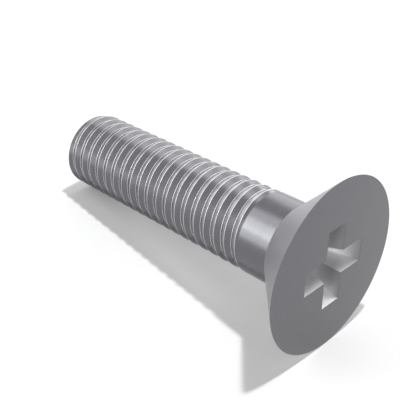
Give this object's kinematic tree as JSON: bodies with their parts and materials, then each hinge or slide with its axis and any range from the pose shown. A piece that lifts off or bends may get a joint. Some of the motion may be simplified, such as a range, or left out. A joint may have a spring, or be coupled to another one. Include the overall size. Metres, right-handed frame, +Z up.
{
  "type": "countersunk screw",
  "caption": "Countersunk machine screw with a flat face, a cross recess, a conical head, a short plain shank and a threaded stem, lying on its side.",
  "frame": {"origin": "centre of the base of the box round the screw as it lies, on the surface it lies on", "axes": "+X towards the head, +Z up; the screw's own axis leans 7.72 degrees, because the head is wider than the thread"},
  "size_m": [0.0208, 0.0104, 0.0103],
  "materials": {
    "screw": "plain grey plated steel, satin, rubbed bright on the crests and in the roots of the thread"
  },
  "bodies": {
    "root": {"screw": "screw"}
  },
  "joints": []
}
